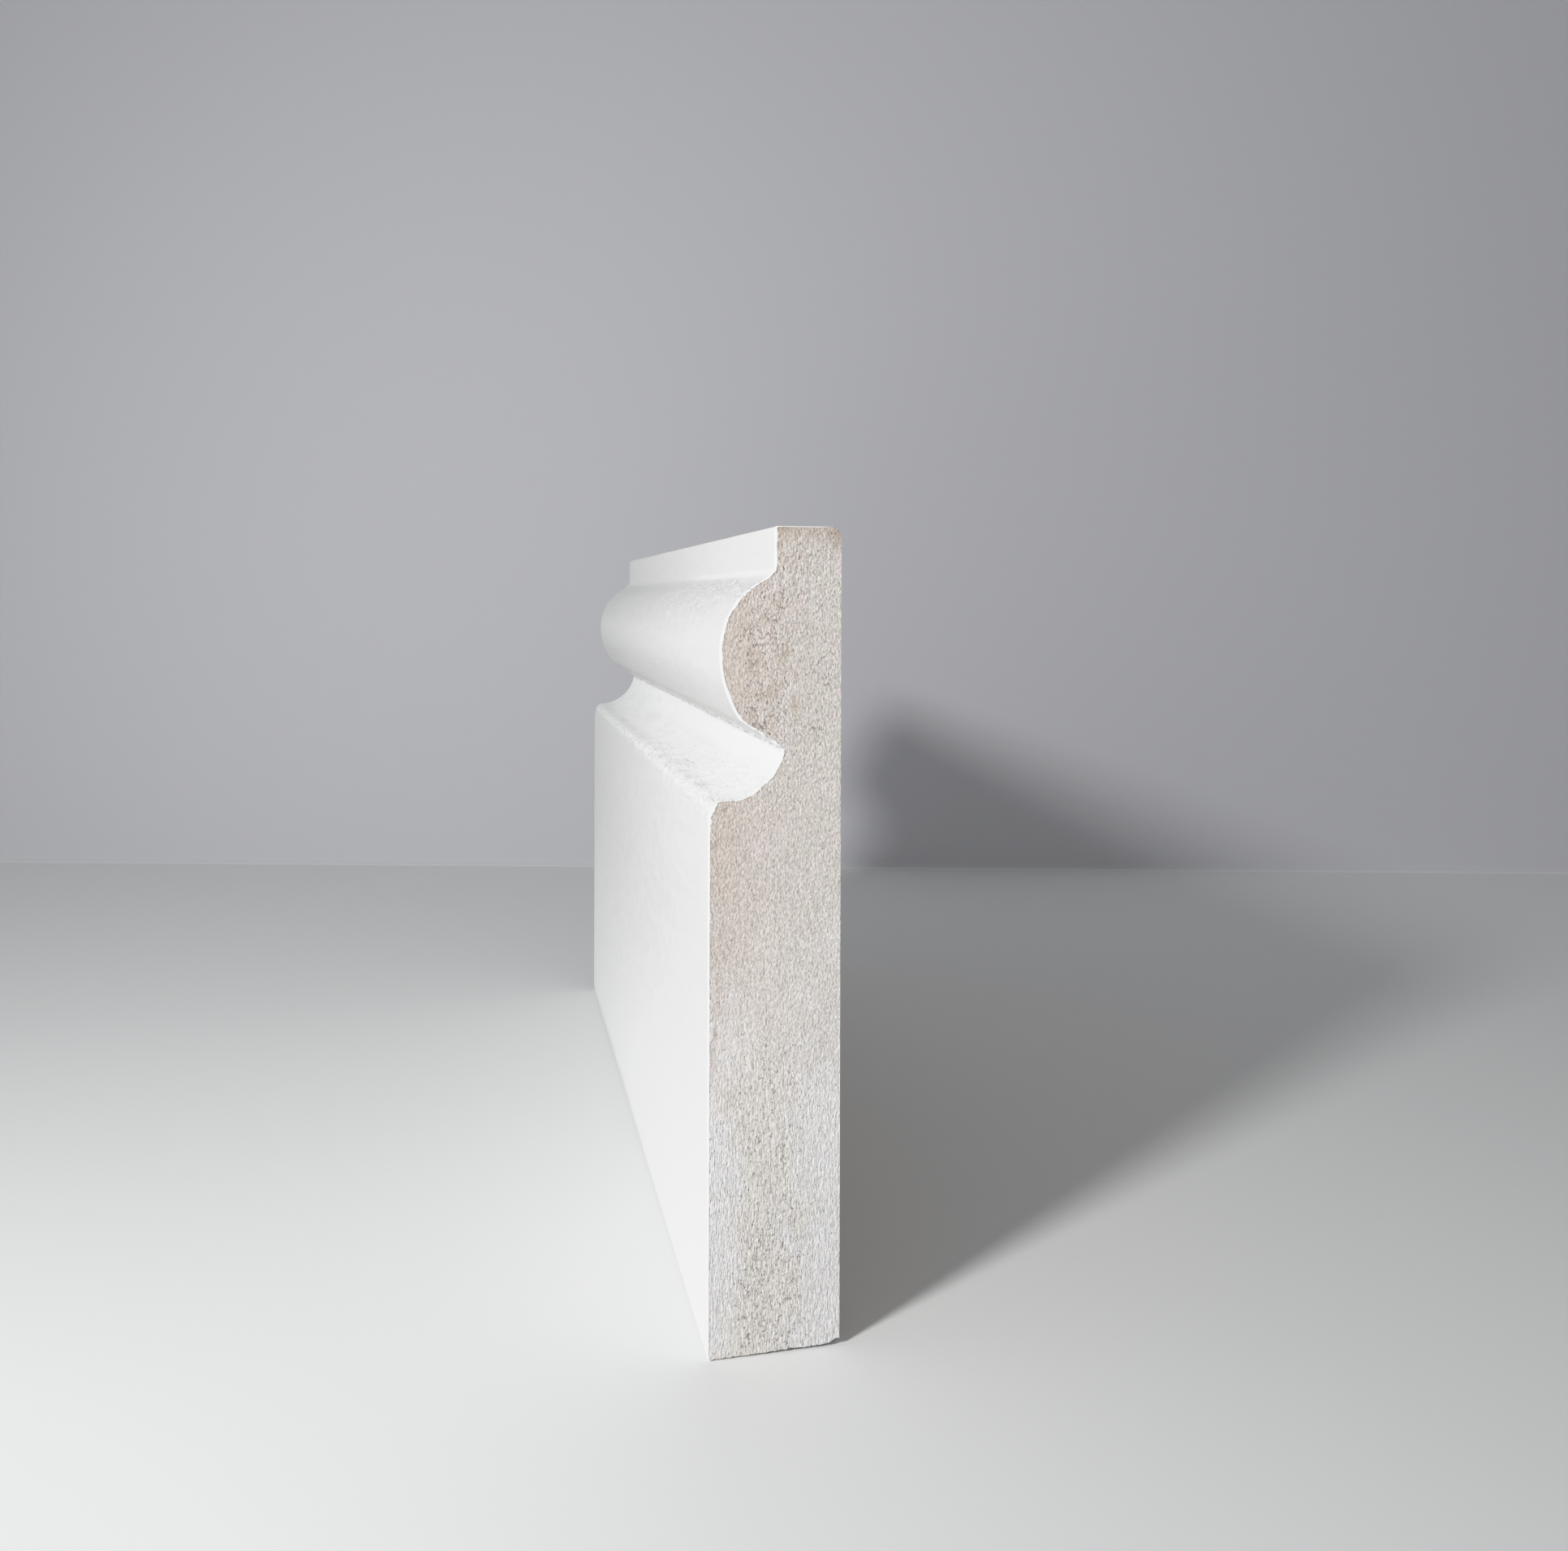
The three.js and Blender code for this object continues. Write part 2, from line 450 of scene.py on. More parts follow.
@dataclass(frozen=True)
class PrimerRelief:
    """Relief of the primed front: raised fibres, ragged quirk, worn arris and nibs."""

    seed: int
    fuzz_height: float = 0.17 * MM
    cove_fuzz_height: float = 0.34 * MM
    bead_height: float = 0.10 * MM
    crease_depth: float = 0.22 * MM
    quirk_ragged: float = 0.30 * MM
    arris_ragged: float = 0.40 * MM
    sag_height: float = 0.02 * MM
    hair_length: float = 2.4 * MM
    hair_width: float = 0.55 * MM
    hair_sharpness: int = 3
    crease_sharpness: int = 3
    far_share: float = 0.25
    nibs: tuple[Nib, ...] = (
        Nib(14.5 * MM, 60.4 * MM, 1.2 * MM, 0.7 * MM, 0.10 * MM),
        Nib(5.0 * MM, 61.0 * MM, 1.4 * MM, 0.6 * MM, 0.08 * MM),
        Nib(31.0 * MM, 60.8 * MM, 2.2 * MM, 0.6 * MM, 0.06 * MM),
    )

    def front(self, along: np.ndarray, height: np.ndarray) -> np.ndarray:
        """Relief of the front.

        Args:
            along: distance of each point from the near end.
            height: height of each point above the foot.

        Returns:
            How far each point stands out of the true surface.
        """
        far = self.far_share
        near = far + (1 - far) * (1 - between(along, 40 * MM, 110 * MM))
        rise = self.sag_height * Grain(self.seed).at(along / (14 * MM), height / (9 * MM))
        rise = rise + (self._torus_fuzz(along, height) + self._cove_fuzz(along, height)) * near
        rise = rise + self._quirk(along, height) + self._arris(along, height) * near
        rise = rise + self._bead(along, height)
        for nib in self.nibs:
            rise = rise + nib.at(along, height)
        return rise

    def _hairs(self, along: np.ndarray, height: np.ndarray, seed: int, turn: float) -> np.ndarray:
        """Ridges like fibres under paint, lying nearly along the board.

        Args:
            along: distance of each point from the near end.
            height: height of each point above the foot.
            seed: number that fixes the pattern.
            turn: how far the fibres are turned from the board's length.

        Returns:
            The ridges, from 0 to 1.
        """
        u = along * math.cos(turn) + height * math.sin(turn)
        v = -along * math.sin(turn) + height * math.cos(turn)
        u, v = u / self.hair_length, v / self.hair_width
        ridge = 1 - np.abs(Grain(self.seed + seed).layered(u, v))
        return np.clip(ridge, 0, 1) ** self.hair_sharpness

    def _torus_fuzz(self, along: np.ndarray, height: np.ndarray) -> np.ndarray:
        """Fibres raised on the upper side of the torus."""
        patch = Grain(self.seed + 1).layered(along / (9 * MM), height / (3.5 * MM))
        mask = band(height, 85.2 * MM, 88.9 * MM, 1.8 * MM) * between(patch, -0.55, 0.35)
        return self.fuzz_height * mask * self._hairs(along, height, 2, -0.6)

    def _cove_fuzz(self, along: np.ndarray, height: np.ndarray) -> np.ndarray:
        """Fibres and creases on the floor of the cove and on the arris under it."""
        patch = Grain(self.seed + 3).layered(along / (7 * MM), height / (2.5 * MM))
        mask = band(height, 62.4 * MM, 65.1 * MM, 1.6 * MM) * between(patch, -0.5, 0.35)
        fuzz = self.cove_fuzz_height * mask * self._hairs(along, height, 4, 0.12)
        spot = band(along, 4 * MM, 15 * MM, 5 * MM) * band(height, 61.9 * MM, 63.4 * MM, 0.8 * MM)
        crease = self._hairs(along, height, 8, -0.1) ** self.crease_sharpness
        return fuzz - self.crease_depth * spot * crease

    def _quirk(self, along: np.ndarray, height: np.ndarray) -> np.ndarray:
        """Paint and loose fibre filling the quirk and the flank above it unevenly."""
        rough = Grain(self.seed + 5).layered(along / (1.8 * MM), height / (0.9 * MM))
        return self.quirk_ragged * band(height, 69.4 * MM, 71.4 * MM, 0.8 * MM) * rough

    def _bead(self, along: np.ndarray, height: np.ndarray) -> np.ndarray:
        """Paint gathered in the corner under the fillet."""
        uneven = 0.7 + 0.6 * Grain(self.seed + 9).layered(along / (4 * MM), height / (4 * MM))
        return self.bead_height * band(height, 89.6 * MM, 89.9 * MM, 0.5 * MM) * uneven

    def _arris(self, along: np.ndarray, height: np.ndarray) -> np.ndarray:
        """Small dents and swellings along the arris under the cove."""
        rough = Grain(self.seed + 6).layered(along / (2.2 * MM), height / (1.1 * MM))
        return self.arris_ragged * band(height, 61.4 * MM, 63.3 * MM, 0.8 * MM) * rough


NEAR_END_SCARS = (
    Nib(0.45 * MM, 37.2 * MM, 0.22 * MM, 0.75 * MM, 0.20 * MM),
    Nib(1.05 * MM, 37.0 * MM, 0.34 * MM, 0.85 * MM, -0.14 * MM),
    Nib(0.95 * MM, 59.2 * MM, 1.20 * MM, 0.22 * MM, 0.10 * MM),
    Nib(1.00 * MM, 58.5 * MM, 0.85 * MM, 0.60 * MM, -0.13 * MM),
    Nib(2.10 * MM, 62.5 * MM, 0.50 * MM, 0.40 * MM, -0.14 * MM),
    Nib(0.30 * MM, 50.4 * MM, 0.25 * MM, 0.45 * MM, 0.15 * MM),
)


@dataclass
class SkirtingBoard:
    """The whole board as one closed mesh."""

    section: Section
    length: float
    near_relief: SawnRelief = SawnRelief(seed=11, scars=NEAR_END_SCARS)
    far_relief: SawnRelief = SawnRelief(seed=61, openness=0.5)
    primer: PrimerRelief = PrimerRelief(seed=31)
    columns: int = 104
    far_stride: int = 4
    inset: float = 0.03 * MM
    side_inset: float = 0.3
    least_inset: float = 0.2
    least_sink: float = 0.002 * MM
    lip_columns: tuple[float, ...] = (
        0.0, 0.05 * MM, 0.12 * MM, 0.20 * MM, 0.29 * MM, 0.40 * MM
    )
    end_places: tuple[float, ...] = (0.0, 0.46 * MM, 0.95 * MM)
    far_margin: float = 3.0 * MM
    first_step: float = 0.5 * MM
    step_growth: float = 0.012
    last_step: float = 1.8 * MM
    moulded_height: float = 59.5 * MM
    full_reach: float = 26 * MM
    second_reach: float = 100 * MM
    plain_reach: float = 60 * MM
    worn_rows: int = 8
    front_reach: float = 1.2 * MM
    # Rows of bare fibreboard along the foot: a darker line, partly painted shade where the foot meets
    # the floor.
    bare_foot_shade_rows: int = 4
    bare_top: float = 1.7 * MM
    sharp_angle: float = math.radians(60)
    foot_seed: int = 71
    foot_lift: float = 0.30 * MM
    foot_reach: float = 1.4 * MM
    most_torn: float = 3.0

    def __post_init__(self) -> None:
        """Lays out the grid of an end and the ring round it."""
        self.vertices: list[np.ndarray] = []
        self.shaded_hollows: list[np.ndarray] = []
        self.open_board: list[np.ndarray] = []
        self.faces: list[tuple[int, ...]] = []
        self.finishes: list[int] = []
        self.count = 0
        outline = self.section.front()
        self.rows = len(outline) - 1
        self.front_setback, self.row_height = outline[:, 0], outline[:, 1]
        self.grid = self._end_grid()
        self.ring = self._ring()
        self.ring_side = self._ring_sides()
        self.ring_out = self._ring_normals()

    def _end_grid(self) -> np.ndarray:
        """Setback and height of every point of an end, by row and column."""
        lips = np.array(self.lip_columns)
        front = self.front_setback[:, None]
        back = self.section.back(self.row_height)[:, None]
        share = np.linspace(0, 1, self.columns - len(lips) + 2)[None, 1:]
        inner = front + lips[-1] + (back - front - lips[-1]) * share
        setback = np.hstack([front + lips[None, :], inner])
        height = np.repeat(self.row_height[:, None], setback.shape[1], 1)
        return np.stack([setback, height], -1)

    def _ring(self) -> np.ndarray:
        """Row and column of each point round the section: down the front, along the foot, up."""
        rows, columns = self.rows, self.columns
        front = [(row, 0) for row in range(rows)]
        foot = [(rows, column) for column in range(columns)]
        back = [(row, columns) for row in range(rows, 0, -1)]
        top = [(0, column) for column in range(columns, 0, -1)]
        return np.array(front + foot + back + top)

    def _ring_sides(self) -> np.ndarray:
        """The side that each point of the ring lies on."""
        counts = [self.rows, self.columns, self.rows, self.columns]
        return np.repeat([Side.FRONT, Side.FOOT, Side.BACK, Side.TOP], counts)

    def _ring_normals(self) -> np.ndarray:
        """Outward direction at each point of the ring, across and up."""
        points = self.grid[self.ring[:, 0], self.ring[:, 1]]
        run = np.roll(points, -1, 0) - np.roll(points, 1, 0)
        out = np.stack([run[:, 1], -run[:, 0]], -1)
        return out / np.linalg.norm(out, axis=1)[:, None]

    def _lift(self, setback: np.ndarray, along: float) -> np.ndarray:
        """How far the foot clears the floor where the saw tore it, at the near end."""
        ragged = Grain(self.foot_seed).layered(setback / (0.8 * MM), np.full(np.shape(setback), 0.5))
        torn = 0.65 + 0.5 * between(setback, 4 * MM, 10 * MM) + 0.3 * ragged
        torn = torn * between(setback, 0.2 * MM, 0.9 * MM)
        torn = torn + 2.0 * between(setback, 13.5 * MM, 15.6 * MM)
        return self.foot_lift * np.clip(torn, 0, self.most_torn) * (1 - between(along, 4 * MM, 18 * MM))

    def _worn(self, points: np.ndarray, along: float) -> np.ndarray:
        """Section points with the foot's tear worked in close above it."""
        setback, height = points[..., 0], points[..., 1]
        low = np.clip(1 - height / self.foot_reach, 0, 1)
        return np.stack([setback, height + low * self._lift(setback, along)], -1)

    def _ring_points(self, away: float, kept: np.ndarray) -> np.ndarray:
        """Setback and height of a station's points, with the relief of each side.

        Args:
            away: the station's distance from the near end.
            kept: numbers of the ring's points.

        Returns:
            The points.
        """
        points = self.grid[self.ring[kept, 0], self.ring[kept, 1]]
        side = self.ring_side[kept]
        front = self.primer.front(np.full(len(kept), away), points[:, 1]) - self.inset
        rise = np.where(side == Side.FRONT, front, -self.side_inset * self.inset)
        rise = np.where(side == Side.FOOT, 0.0, rise)
        points = points + self.ring_out[kept] * rise[:, None]
        points[:, 0] = np.clip(points[:, 0], self.least_inset * self.inset, None)
        return self._worn(points, away)

    def _stations(self) -> list[float]:
        """Distances from the near end of the rings along the board."""
        places = list(self.end_places)
        while places[-1] < self.length - self.far_margin:
            away = places[-1]
            places.append(away + min(self.first_step + self.step_growth * away, self.last_step))
        return places + [self.length - place for place in reversed(self.end_places)]

    def _kept(self, away: float) -> np.ndarray:
        """Numbers of the ring's points that a station keeps, fewer in plain and far parts.

        Args:
            away: the station's distance from the near end.

        Returns:
            The points' numbers, in order.
        """
        number = np.arange(len(self.ring))
        if away == 0:
            return number
        if away >= self.length:
            return number[number % self.far_stride == 0]
        height = self.row_height[self.ring[:, 0]]
        moulded = (self.ring_side == Side.FRONT) & (height > self.moulded_height)
        fine = 1 if away < self.full_reach else 2 if away < self.second_reach else 4
        plain = 4 if away < self.plain_reach else 8
        stride = np.where(moulded, fine, plain)
        worn = self.ring[:, 0] < self.worn_rows
        stride = np.where(self.ring_side == Side.BACK, np.where(worn, 4, 8), stride)
        return number[number % stride == 0]

    def _add(
        self, x: np.ndarray, section: np.ndarray, shaded_hollow: np.ndarray, open_board: np.ndarray
    ) -> np.ndarray:
        """Adds vertices.

        Args:
            x: place of each along the board.
            section: setback and height of each.
            shaded_hollow: how much painted shade each gets, in pits and grooves.
            open_board: how open and pitted the bare board is at each.

        Returns:
            Their numbers.
        """
        across = section[..., 0] - self.section.thickness / 2
        self.vertices.append(np.stack([x, across, section[..., 1]], -1).reshape(-1, 3))
        self.shaded_hollows.append(np.broadcast_to(shaded_hollow, x.shape).reshape(-1))
        self.open_board.append(np.broadcast_to(open_board, x.shape).reshape(-1))
        first = self.count
        self.count += x.size
        return np.arange(first, self.count).reshape(x.shape)

    def _bridge(self, near: dict[int, int], far: dict[int, int]) -> None:
        """Joins two neighbouring rings with faces. One ring's points include the other's.

        Args:
            near: vertex of each kept point of the ring nearer the near end.
            far: the same for the ring farther from it.
        """
        finer, coarser, flip = (near, far, False) if len(near) >= len(far) else (far, near, True)
        stops, fine = sorted(coarser), sorted(finer)
        order = {number: i for i, number in enumerate(fine)}
        for i, start in enumerate(stops):
            end = stops[(i + 1) % len(stops)]
            first = order[start]
            last = order[end] if end > start else order[end] + len(fine)
            run = [finer[fine[k % len(fine)]] for k in range(first, last + 1)]
            finish = self._side_finish(start)
            for face in self._strip(run, coarser[start], coarser[end]):
                self.faces.append(tuple(reversed(face)) if flip else face)
                self.finishes.append(int(finish))

    def _side_finish(self, number: int) -> Finish:
        """Finish of the stretch of a side that starts at a point of the ring."""
        side = self.ring_side[number]
        if side == Side.FRONT:
            # The lowest rows of the front are bare fibreboard, a darker line that is partly painted
            # shade where the foot meets the floor.
            return Finish.SAWN if number > self.rows - self.bare_foot_shade_rows else Finish.PRIMER
        if side == Side.TOP:
            row, column = self.ring[number]
            bare = self.grid[row, column, 0] > self.section.thickness - self.bare_top
            return Finish.SAWN if bare else Finish.PRIMER
        return Finish.SAWN if side == Side.FOOT else Finish.SANDED

    @staticmethod
    def _strip(run: list[int], a: int, b: int) -> list[tuple[int, ...]]:
        """Faces between a run of points on one ring and the stretch from a to b on the next."""
        if len(run) == 2:
            return [(run[0], a, b, run[1])]
        middle = len(run) // 2
        made = [(run[k], a, run[k + 1]) for k in range(middle)]
        made.append((run[middle], a, b))
        return made + [(run[k], b, run[k + 1]) for k in range(middle, len(run) - 1)]

    def _end_section(self, near: bool) -> np.ndarray:
        """Points of an end, drawn along with the relief of the front beside them."""
        away = 0.0 if near else self.length
        base = self.grid[:, 0]
        shift = self._ring_points(away, np.arange(self.rows + 1)) - base
        shift[-1] = 0
        reach = (self.grid[..., 0] - base[:, None, 0]) / self.front_reach
        drawn = shift[:, None, :] * fade(np.clip(1 - reach, 0, 1))[..., None]
        return self._worn(self.grid + drawn, away)

    def _end_rise(self, near: bool) -> tuple[np.ndarray, ...]:
        """Relief of an end.

        Args:
            near: whether it is the end that faces the camera.

        Returns:
            How far each point of the grid lies out of the end, how much painted shade it gets
            in pits and grooves, how open the board is there, and whether the face that starts at it
            is primer.
        """
        relief = self.near_relief if near else self.far_relief
        setback, height = self.grid[..., 0], self.grid[..., 1]
        from_front, from_top = setback - setback[:, :1], self.section.height - height
        rolled, film, painted = relief.film(from_front, from_top, setback, height)
        rise, shaded_hollow = relief.board(setback, height)
        rise = np.minimum(rise - relief.sink, -self.least_sink) * (1 - film) + rolled
        return rise, shaded_hollow * (1 - film), relief.pitted(setback, height) * (1 - film), painted

    def _close_end(self, ring: dict[int, int], near: bool) -> None:
        """Fills an end with its grid.

        Args:
            ring: vertex of each kept point of the ring round that end.
            near: whether it is the end that faces the camera.
        """
        stride = 1 if near else self.far_stride
        keep = (slice(None, None, stride), slice(None, None, stride))
        section = self._end_section(near)[keep]
        rise, shaded_hollow, open_board, painted = (part[keep] for part in self._end_rise(near))
        rows, columns = rise.shape[0] - 1, rise.shape[1] - 1
        inner = (slice(1, rows), slice(1, columns))
        numbers = np.full(rise.shape, -1)
        x = (self.length / 2 + rise) * (1 if near else -1)
        numbers[inner] = self._add(x[inner], section[inner], shaded_hollow[inner], open_board[inner])
        for number, vertex in ring.items():
            row, column = self.ring[number]
            numbers[row // stride, column // stride] = vertex
        corners = [numbers[:-1, :-1], numbers[1:, :-1], numbers[1:, 1:], numbers[:-1, 1:]]
        quads = np.stack(corners if near else corners[::-1], -1).reshape(-1, 4)
        self.faces += [tuple(quad) for quad in quads.tolist()]
        finish = np.where(painted[:-1, :-1], int(Finish.PRIMER), int(Finish.SAWN))
        self.finishes += finish.reshape(-1).tolist()

    def _end_x(self, away: float, kept: np.ndarray) -> np.ndarray:
        """Place along the board of a station's points, drawn in at the rolled edges."""
        x = np.full(len(kept), self.length / 2 - away)
        if 0 < away < self.length:
            return x
        rise = self._end_rise(near=away == 0)[0][self.ring[kept, 0], self.ring[kept, 1]]
        return x + np.minimum(rise, 0) * (1 if away == 0 else -1)

    def build(self) -> bpy.types.Object:
        """Makes the mesh.

        Returns:
            The board's object, without materials.
        """
        rings: list[dict[int, int]] = []
        for away in self._stations():
            kept = self._kept(away)
            points, plain = self._ring_points(away, kept), np.zeros(1)
            numbers = self._add(self._end_x(away, kept), points, plain, plain)
            rings.append(dict(zip(kept.tolist(), numbers.tolist())))
        for near, far in zip(rings, rings[1:]):
            self._bridge(near, far)
        self._close_end(rings[0], near=True)
        self._close_end(rings[-1], near=False)
        return self._object()

    def _object(self) -> bpy.types.Object:
        """The object of the gathered vertices and faces."""
        mesh = bpy.data.meshes.new("skirting_board_dressed")
        mesh.from_pydata(np.concatenate(self.vertices).tolist(), [], self.faces)
        mesh.polygons.foreach_set("material_index", self.finishes)
        mesh.polygons.foreach_set("use_smooth", [True] * len(self.faces))
        for name, values in (("shaded_hollow", self.shaded_hollows), ("open", self.open_board)):
            layer = mesh.attributes.new(name, "FLOAT", "POINT")
            layer.data.foreach_set("value", np.concatenate(values).astype(np.float32))
        mesh.validate()
        mesh.set_sharp_from_angle(angle=self.sharp_angle)
        board = bpy.data.objects.new("torus_skirting_board", mesh)
        bpy.context.scene.collection.objects.link(board)
        return board


class NodeBench:
    """Short calls for laying out a finish's nodes. Patterns and zones are in millimetres."""

    def __init__(self, name: str) -> None:
        """Starts a material with one principled shader.

        Args:
            name: the material's name.
        """
        self.material = bpy.data.materials.new(name)
        self.material.use_nodes = True
        self.tree = self.material.node_tree
        self.shader = self.tree.nodes["Principled BSDF"]
        self.place = self.tree.nodes.new("ShaderNodeTexCoord").outputs["Object"]
        split = self.tree.nodes.new("ShaderNodeSeparateXYZ")
        self.put(self.place, split.inputs["Vector"])
        self.along, self.across, self.up = (split.outputs[axis] for axis in "XYZ")

    def put(self, value: Socket | Colour | float, target: Socket) -> None:
        """Links an output to an input, or sets the input itself.

        Args:
            value: the output, colour or number.
            target: the input.
        """
        if isinstance(value, tuple):
            target.default_value = (*value, 1.0)
        elif isinstance(value, (int, float)):
            target.default_value = value
        else:
            self.tree.links.new(value, target)

    def noise(
        self, size: Colour, detail: float = 2.0, rough: float = 0.5, turn: float = 0.0
    ) -> Socket:
        """Noise from 0 to 1.

        Args:
            size: how far across its features are along X, Y and Z.
            detail: how many finer layers it has.
            rough: how strong those are.
            turn: how far the features are turned about Y.

        Returns:
            The noise's output.
        """
        mapping = self.tree.nodes.new("ShaderNodeMapping")
        mapping.vector_type = "TEXTURE"
        mapping.inputs["Scale"].default_value = [width * MM for width in size]
        mapping.inputs["Rotation"].default_value = (0.0, turn, 0.0)
        self.put(self.place, mapping.inputs["Vector"])
        node = self.tree.nodes.new("ShaderNodeTexNoise")
        for name, value in (("Scale", 1.0), ("Detail", detail), ("Roughness", rough)):
            self.put(value, node.inputs[name])
        self.put(mapping.outputs["Vector"], node.inputs["Vector"])
        return node.outputs["Fac"]

    def attribute(self, name: str) -> Socket:
        """A value that the mesh carries at its points."""
        node = self.tree.nodes.new("ShaderNodeAttribute")
        node.attribute_name = name
        return node.outputs["Fac"]

    def ramp(
        self, source: Socket, low: float, high: float, start: float = 0.0, end: float = 1.0
    ) -> Socket:
        """Smooth change of a value.

        Args:
            source: the value that it follows.
            low: the value at which it starts.
            high: the value at which it ends.
            start: what it gives at low.
            end: what it gives at high.

        Returns:
            Its output.
        """
        node = self.tree.nodes.new("ShaderNodeMapRange")
        node.interpolation_type = "SMOOTHSTEP"
        ends = {"From Min": low, "From Max": high, "To Min": start, "To Max": end, "Value": source}
        for name, value in ends.items():
            self.put(value, node.inputs[name])
        return node.outputs["Result"]

    def zone(self, place: Socket, *marks: float) -> Socket:
        """A stretch of the board with smooth ends, from 0 outside it to 1 inside.

        Args:
            place: the coordinate that it lies along.
            marks: where it starts to count and counts fully, and for a stretch with two ends
                where it stops counting fully and stops.

        Returns:
            How far a place counts.
        """
        rise = self.ramp(place, marks[0] * MM, marks[1] * MM)
        if len(marks) == 2:
            return rise
        return self.times(rise, self.ramp(place, marks[3] * MM, marks[2] * MM))

    def _together(self, kind: Sum, values: tuple[Socket | float, ...]) -> Socket:
        """Puts values together one after another.

        Args:
            kind: how.
            values: the values, an output first.

        Returns:
            The last sum's output.
        """
        total, *others = values
        for other in others:
            node = self.tree.nodes.new("ShaderNodeMath")
            node.operation = kind.value
            self.put(total, node.inputs[0])
            self.put(other, node.inputs[1])
            total = node.outputs["Value"]
        return total

    def plus(self, *values: Socket | float) -> Socket:
        """Sum of values."""
        return self._together(Sum.PLUS, values)

    def times(self, *values: Socket | float) -> Socket:
        """Product of values."""
        return self._together(Sum.TIMES, values)

    def greatest(self, *values: Socket | float) -> Socket:
        """Greatest of values."""
        return self._together(Sum.GREATEST, values)

    def shaded(self, colour: Socket, shade: Socket) -> Socket:
        """A colour multiplied by a shade."""
        node = self.tree.nodes.new("ShaderNodeVectorMath")
        node.operation = "SCALE"
        self.put(colour, node.inputs[0])
        self.put(shade, node.inputs["Scale"])
        return node.outputs["Vector"]

    def mix(self, share: Socket, first: Socket | Colour, second: Socket | Colour) -> Socket:
        """Colour between two others.

        Args:
            share: how much of the second shows.
            first: the colour at 0.
            second: the colour at 1.

        Returns:
            The colour's output.
        """
        node = self.tree.nodes.new("ShaderNodeMix")
        node.data_type = "RGBA"
        inputs = [socket for socket in node.inputs if socket.enabled]
        for value, socket in zip((share, first, second), inputs):
            self.put(value, socket)
        return next(socket for socket in node.outputs if socket.enabled)

    def finish(
        self, colour: Socket, rough: Socket | float, bumps: list[tuple[Socket, float]]
    ) -> Material:
        """Feeds the shader.

        Args:
            colour: the base colour.
            rough: the roughness.
            bumps: heights from 0 to 1 with how far out 1 stands in metres, the lowest first.

        Returns:
            The material.
        """
        self.put(colour, self.shader.inputs["Base Color"])
        self.put(rough, self.shader.inputs["Roughness"])
        before = None
        for height, rise in bumps:
            node = self.tree.nodes.new("ShaderNodeBump")
            self.put(rise, node.inputs["Distance"])
            self.put(height, node.inputs["Height"])
            if before is not None:
                self.put(before, node.inputs["Normal"])
            before = node.outputs["Normal"]
        if before is not None:
            self.put(before, self.shader.inputs["Normal"])
        return self.material


